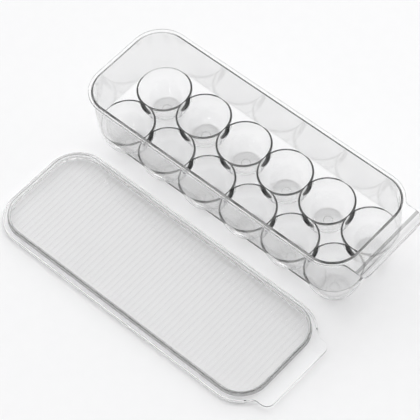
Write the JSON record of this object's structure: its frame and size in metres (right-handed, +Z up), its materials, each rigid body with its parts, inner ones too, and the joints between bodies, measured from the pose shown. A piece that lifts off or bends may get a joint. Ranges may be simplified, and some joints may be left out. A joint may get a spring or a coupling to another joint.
{
  "type": "egg holder tray",
  "caption": "Clear plastic egg tray: two rows of round bowls in a deck, tapered walls, turned-out rim and grip lip, with a loose ribbed lid lying beside it.",
  "frame": {"origin": "on the surface that the tray and the lid lie on, at the centre of their joint footprint", "axes": "+X along the tray towards its grip, +Y from the lid to the tray, +Z up"},
  "size_m": [0.3126, 0.2156, 0.076],
  "materials": {
    "tray_plastic": "clear, polished",
    "lid_plastic": "clear, polished, ribbed underneath"
  },
  "bodies": {
    "tray": {"tray_wall": "tray_plastic", "tray_rim": "tray_plastic", "grip_lip": "tray_plastic", "cup_deck": "tray_plastic", "egg_cup_1": "tray_plastic", "egg_cup_2": "tray_plastic", "egg_cup_3": "tray_plastic", "egg_cup_4": "tray_plastic", "egg_cup_5": "tray_plastic", "egg_cup_6": "tray_plastic", "egg_cup_7": "tray_plastic", "egg_cup_8": "tray_plastic", "egg_cup_9": "tray_plastic", "egg_cup_10": "tray_plastic", "egg_cup_11": "tray_plastic", "egg_cup_12": "tray_plastic"},
    "lid": {"lid_panel": "lid_plastic", "lid_step": "lid_plastic", "lid_flange": "lid_plastic", "lid_lip": "lid_plastic", "lid_tab": "lid_plastic"}
  },
  "joints": [
    {"name": "lid_lift", "type": "slide", "parent": "tray", "child": "lid", "axis": [0, 0, 1], "range_m": [0, 0.09]}
  ]
}
